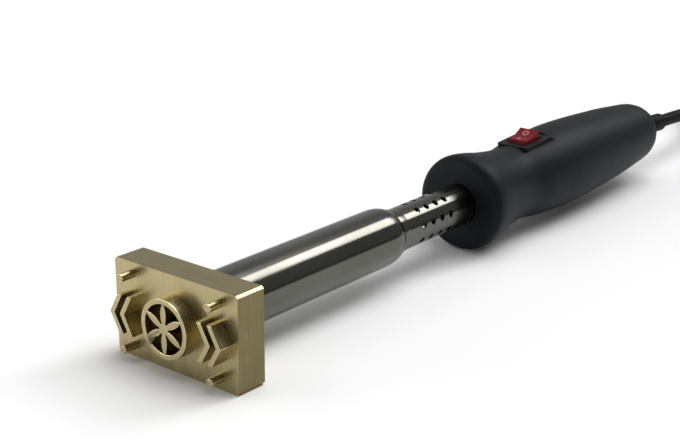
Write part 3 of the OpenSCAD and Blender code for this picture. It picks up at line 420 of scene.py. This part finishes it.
materials = {
    "brass_stamp": brass_stamp(),
    "brass_parts": plain_metal("brass_parts", (0.5, 0.4, 0.18), (0.6, 0.48, 0.24), 0.25, 0.4),
    "dark_steel": plain_metal("dark_steel", (0.3, 0.3, 0.29), (0.38, 0.38, 0.37), 0.28, 0.42),
    "ceramic": moulded("ceramic", (0.7, 0.66, 0.58), (0.8, 0.77, 0.7), 0.7, 0.85, 2500, 0.05),
    "heater_wire": heater_wire(),
    "polished_steel": polished_steel(),
    "handle_black": moulded("handle_black", (0.0068, 0.009, 0.011), (0.0095, 0.012, 0.0142), 0.42, 0.56,
                            4500, 0.02, Specular_IOR_Level=0.1),
    "switch_black": moulded("switch_black", (0.006, 0.0065, 0.0065), (0.009, 0.0095, 0.0095), 0.42, 0.52,
                            6000, 0.01, Specular_IOR_Level=0.12),
    "switch_red": moulded("switch_red", (0.15, 0.006, 0.009), (0.185, 0.008, 0.012), 0.34, 0.42,
                          5000, 0.006, Specular_IOR_Level=0.12),
    "core_brown": moulded("core_brown", (0.1, 0.04, 0.015), (0.14, 0.06, 0.025), 0.4, 0.5, 3000, 0.02),
    "core_blue": moulded("core_blue", (0.03, 0.1, 0.36), (0.05, 0.14, 0.45), 0.4, 0.5, 3000, 0.02),
    "core_green": earth_core(),
    "lead_white": woven("lead_white", (0.5, 0.47, 0.4), (0.78, 0.76, 0.7), 250, 0.2),
    "cord_rubber": moulded("cord_rubber", (0.004, 0.0044, 0.0044), (0.0065, 0.007, 0.007), 0.45, 0.6,
                           2500, 0.03, Specular_IOR_Level=0.06),
    "tie_fabric": woven("tie_fabric", (0.008, 0.008, 0.009), (0.03, 0.031, 0.034), 200, 0.25),
    "plug_black": moulded("plug_black", (0.008, 0.0085, 0.0085), (0.012, 0.0125, 0.0125), 0.42, 0.55,
                          3000, 0.03, Specular_IOR_Level=0.2),
    "plug_metal": plain_metal("plug_metal", (0.6, 0.59, 0.56), (0.68, 0.67, 0.64), 0.12, 0.2),
}
mark_pale = moulded("mark_pale", (0.4, 0.17, 0.17), (0.46, 0.21, 0.21), 0.4, 0.5, 4000, 0.005)


def finish_with(obj, slot):
    """Gives a piece the material of a slot."""
    obj.data.materials.clear()
    obj.data.materials.append(materials[slot])


for part in record["subparts"]:
    finish_with(nodes[part["node"]], part["material_slot"])


# Stamp block: drawn bar with sawn ends painted darker as painted shade, a milled face painted brighter as
# painted light, rounded edges brighter from wear and a painted highlight, and wider chamfers at its corners
BLOCK_W, BLOCK_T = 56 * MM, 12 * MM
BLOCK_EDGE, BLOCK_CHAMFER = 0.35 * MM, 0.8 * MM
NEAR = 0.1 * MM


def block_chamfer(edge):
    """Width of the chamfer where an edge runs along the tool's axis at one of the block's ends."""
    a, b = (INTO_TOOL @ v.co for v in edge.verts)
    along = abs((b - a).normalized().x) > 0.99
    return BLOCK_CHAMFER if along and abs(a.y) > BLOCK_W / 2 - NEAR else None


def mark_faces(obj, name, belongs):
    """Gives faces a share of 1 under a name where belongs(middle, normal) holds, in the tool's own axes."""
    shares = obj.data.attributes.new(name, "FLOAT", "FACE").data
    turn = INTO_TOOL.to_3x3()
    for share, face in zip(shares, obj.data.polygons):
        share.value = float(belongs(INTO_TOOL @ face.center, turn @ face.normal))


def make_block():
    block = rounded_copy("brand_block", "stamp_block", BLOCK_EDGE, wide=block_chamfer)
    # Faces that the brass material paints brighter with painted light (milled face) and darker with painted
    # shade (ends)
    mark_faces(block, "milled_and_lit_face", lambda middle, normal: middle.x < -BLOCK_T + NEAR)
    mark_faces(block, "ends", lambda middle, normal: abs(normal.y) > 0.9)
    finish_with(block, "brass_stamp")
    add(block, "iron", "brass_stamp", "brand_block")


# Outer pieces that keep their CAD shape: node, piece, body, slot and width of rounded edges in millimetres
OUTER = (
    ("heater_sleeve", "sleeve_shell", "iron", "polished_steel", 0),
    ("neck_tube", "neck_shell", "iron", "polished_steel", 0),
    ("handle", "handle_shell", "iron", "handle_black", 0),
    ("switch_housing", "switch_body", "iron", "switch_black", 0.3),
    ("switch_rocker", "switch_key", "rocker", "switch_red", 0.25),
    ("strain_relief", "relief_boot", "iron", "cord_rubber", 0.6),
)
PLUG = (
    ("plug_body", "plug_shell", "iron", "plug_black", 0.35),
    ("plug_pins", "plug_prongs", "iron", "plug_metal", 0),
    ("plug_clips", "plug_earth", "iron", "plug_metal", 0.15),
)


def dress(node, name, body, slot, edge_mm):
    """Smooth copy of a node, with rounded edges where they have a width."""
    obj = rounded_copy(node, name, edge_mm * MM) if edge_mm else smooth_copy(node, name)
    finish_with(obj, slot)
    return add(obj, body, slot, node)


# Marks on the rocker: a ring on its raised rear half and a bar on its pressed front half
SEAT_SLOPE = math.radians(3)
ROCK = math.radians(12.5)
PRESS_H = 4.7 * MM
MARK_PROUD = 0.06 * MM
RING_R, RING_HOLE_R, RING_AWAY = 1.5 * MM, 0.87 * MM, 2.2 * MM
BAR_L, BAR_W, BAR_AWAY = 3 * MM, 0.8 * MM, -3.6 * MM


def ring_mark(r_out, r_in, t, steps=40):
    """Flat ring that reaches t above and below its plane."""
    bm = bmesh.new()
    loops = []
    for r, z in ((r_in, -t), (r_in, t), (r_out, t), (r_out, -t)):
        loops.append([bm.verts.new((r * math.cos(a), r * math.sin(a), z))
                      for a in (2 * math.pi * k / steps for k in range(steps))])
    for one, two in zip(loops, loops[1:] + loops[:1]):
        for k in range(steps):
            bm.faces.new((one[k], two[k], two[(k + 1) % steps], one[(k + 1) % steps]))
    bmesh.ops.recalc_face_normals(bm, faces=bm.faces)
    return bm


def bar_mark(length, width, t, steps=10):
    """Flat bar with round ends that reaches t above and below its plane."""
    bm = bmesh.new()
    outline = []
    for side, start in ((1, -90), (-1, 90)):
        for k in range(steps + 1):
            a = math.radians(start + 180 * k / steps)
            outline.append((side * (length - width) / 2 + width / 2 * math.cos(a), width / 2 * math.sin(a)))
    low = [bm.verts.new((x, y, -t)) for x, y in outline]
    high = [bm.verts.new((x, y, t)) for x, y in outline]
    bm.faces.new(high)
    bm.faces.new(low[::-1])
    for k in range(len(outline)):
        n = (k + 1) % len(outline)
        bm.faces.new((low[k], low[n], high[n], high[k]))
    bmesh.ops.recalc_face_normals(bm, faces=bm.faces)
    return bm


def make_marks():
    """Marks on the rocker's two faces, which meet PRESS_H above the pivot and lean apart by twice ROCK."""
    pivot = Vector(hinges["rocker_rock"]["pos_m"])
    seat = Matrix.Translation(pivot) @ Matrix.Rotation(-TILT - SEAT_SLOPE, 4, "Y")
    ridge = Matrix.Translation((-PRESS_H * math.tan(ROCK), 0, PRESS_H))
    marks = (("mark_ring", ring_mark(RING_R, RING_HOLE_R, MARK_PROUD), RING_AWAY, -2 * ROCK),
             ("mark_bar", bar_mark(BAR_L, BAR_W, MARK_PROUD), BAR_AWAY, 0))
    for name, bm, away, turn in marks:
        place = seat @ ridge @ Matrix.Rotation(turn, 4, "Y") @ Matrix.Translation((away, 0, 0))
        bmesh.ops.transform(bm, verts=bm.verts, matrix=place)
        mark = mesh_object(name, bm)
        mark.data.materials.append(mark_pale)
        add(mark, "rocker", "switch_red")


# Tie around the hank: a woven strap with its end pressed down on itself
TIE_X, TIE_W, TIE_T = HANK_X, 12 * MM, 1.2 * MM
TIE_HALF, TIE_HIGH, TIE_CORNER = 25.65 * MM, 28.6 * MM, 3.25 * MM
TIE_EDGE, TIE_CROWN, TIE_SHARP_DEG = 0.35 * MM, 0.1 * MM, 60
FLAP_W, FLAP_T, FLAP_HALF_MM, FLAP_STEP_MM = TIE_W - 1 * MM, 1.1 * MM, 14, 2


def strap(path, normals, width, thick, closed):
    """Band of a width along a path in the plane across X, with chamfered edges and a slight crown."""
    bm = bmesh.new()
    half = width / 2
    inner = half - TIE_EDGE
    upper = thick - TIE_EDGE
    outline = [(-inner, 0), (inner, 0), (half, TIE_EDGE), (half, upper), (inner, thick),
               (0, thick + TIE_CROWN), (-inner, thick), (-half, upper), (-half, TIE_EDGE)]
    rings = [[bm.verts.new((TIE_X + x, p[0] + n[0] * h, p[1] + n[1] * h)) for x, h in outline]
             for p, n in zip(path, normals)]
    last = len(rings) if closed else len(rings) - 1
    for i in range(last):
        one, two = rings[i], rings[(i + 1) % len(rings)]
        for k in range(len(outline)):
            m = (k + 1) % len(outline)
            bm.faces.new((one[k], one[m], two[m], two[k]))
    if not closed:
        bm.faces.new(rings[0])
        bm.faces.new(rings[-1][::-1])
    bmesh.ops.recalc_face_normals(bm, faces=bm.faces)
    return bm


def make_tie():
    """Strap round the hank and its loose end on top."""
    path, normals = [], []
    y_in, z_in = TIE_HALF - TIE_CORNER, TIE_HIGH / 2 - TIE_CORNER
    middle = TIE_T + TIE_HIGH / 2
    for cy, cz, start in ((y_in, z_in, 0), (-y_in, z_in, 90), (-y_in, -z_in, 180), (y_in, -z_in, 270)):
        for k in range(9):
            a = math.radians(start + 90 * k / 8)
            normals.append((math.cos(a), math.sin(a)))
            path.append((cy + TIE_CORNER * math.cos(a), middle + cz + TIE_CORNER * math.sin(a)))
    band = mesh_object("tie_strap", strap(path, normals, TIE_W, TIE_T, True), TIE_SHARP_DEG)
    top = 2 * TIE_T + TIE_HIGH + TIE_CROWN
    tail = [(y * MM, top) for y in range(-FLAP_HALF_MM, FLAP_HALF_MM + 1, FLAP_STEP_MM)]
    up = [(0, 1)] * len(tail)
    flap = mesh_object("tie_flap", strap(tail, up, FLAP_W, FLAP_T, False), TIE_SHARP_DEG)
    for obj in (band, flap):
        finish_with(obj, "tie_fabric")
    add(band, "iron", "tie_fabric", "cord_tie")
    add(flap, "iron", "tie_fabric")
    return [band, flap]


# All pieces
cord = make_cord()
finish_with(cord, "cord_rubber")
tie = make_tie()
make_block()
for piece in OUTER:
    dress(*piece)
plug = [dress(*piece) for piece in PLUG]
make_marks()


# Floor, lamps and studio: a lamp has a name, the way towards it, its angle in degrees and its strength
FLOOR_R, FLOOR_GAP = 8, 0.05 * MM
LAMPS = (
    ("key", (0.24, -0.16, 0.96), 66, 1.22),
    ("back", (0.3, -0.08, 0.95), 42, 0.85),
    ("front", (-0.75, 0.62, 0.08), 36, 1.1),
    ("glint", (-0.31, 0.6, 0.74), 24, 0.25),
    ("strip", (0.738, -0.19, 0.615), 21, 0.84),
)
BEYOND = math.radians(39)  # azimuth from the camera past the tool
ACROSS = math.radians(129)  # azimuth to its left


def make_floor():
    bm = bmesh.new()
    bmesh.ops.create_circle(bm, cap_ends=True, segments=128, radius=FLOOR_R)
    floor = mesh_object("floor", bm)
    floor.location.z = -FLOOR_GAP
    material, tree, shader = new_material("floor", Roughness=0.9, Specular_IOR_Level=0.1)
    cloud = grain(tree, 3, detail=2)
    paint(tree, shader, "Base Color", ramp(tree, cloud, (0.3, 0.94), (0.7, 0.95)))
    floor.data.materials.append(material)
    bpy.context.scene.collection.objects.link(floor)


def make_sun(name, towards, angle_deg, strength):
    data = bpy.data.lights.new(name, "SUN")
    data.angle = math.radians(angle_deg)
    data.energy = strength
    lamp = bpy.data.objects.new(name, data)
    lamp.rotation_mode = "QUATERNION"
    lamp.rotation_quaternion = Vector(towards).to_track_quat("Z", "Y")
    bpy.context.scene.collection.objects.link(lamp)


def sky_share(tree, turn):
    """Share from 0 to 1 across the sky, along the X axis once it is turned."""
    place = tree.nodes.new("ShaderNodeTexCoord")
    mapping = tree.nodes.new("ShaderNodeMapping")
    mapping.inputs["Location"].default_value = (0.5, 0, 0)
    mapping.inputs["Rotation"].default_value = turn
    mapping.inputs["Scale"].default_value = (0.5, 0.5, 0.5)
    across = tree.nodes.new("ShaderNodeTexGradient")
    tree.links.new(place.outputs["Generated"], mapping.inputs["Vector"])
    tree.links.new(mapping.outputs["Vector"], across.inputs["Vector"])
    return across.outputs["Fac"]


def make_world():
    """Studio walls that are brightest beyond the tool, with darker skirting, ceiling and near side."""
    world = bpy.data.worlds.new("studio")
    world.use_nodes = True
    tree = world.node_tree
    walls = ramp(tree, sky_share(tree, (0, 0, -ACROSS)),
                 (0, 0.24), (0.1, 0.28), (0.32, 0.34), (0.5, 0.58), (0.6, 0.5), (0.95, 0.4))
    height = ramp(tree, sky_share(tree, (0, math.pi / 2, 0)),
                  (0.5, 0.5), (0.54, 0.6), (0.58, 1), (0.83, 1), (0.91, 0.2))
    near = ramp(tree, sky_share(tree, (0, 0, -BEYOND)), (0.1, 0.2), (0.45, 1))
    background = tree.nodes["Background"]
    background.inputs["Color"].default_value = (1, 1, 1, 1)
    room = maths(tree, "MULTIPLY", maths(tree, "MULTIPLY", walls, height), near)
    tree.links.new(room, background.inputs["Strength"])
    bpy.context.scene.world = world


make_floor()
for lamp in LAMPS:
    make_sun(*lamp)
make_world()
bpy.context.scene.view_settings.view_transform = "Standard"

# Bring the scene's placements up to date
bpy.context.view_layer.update()
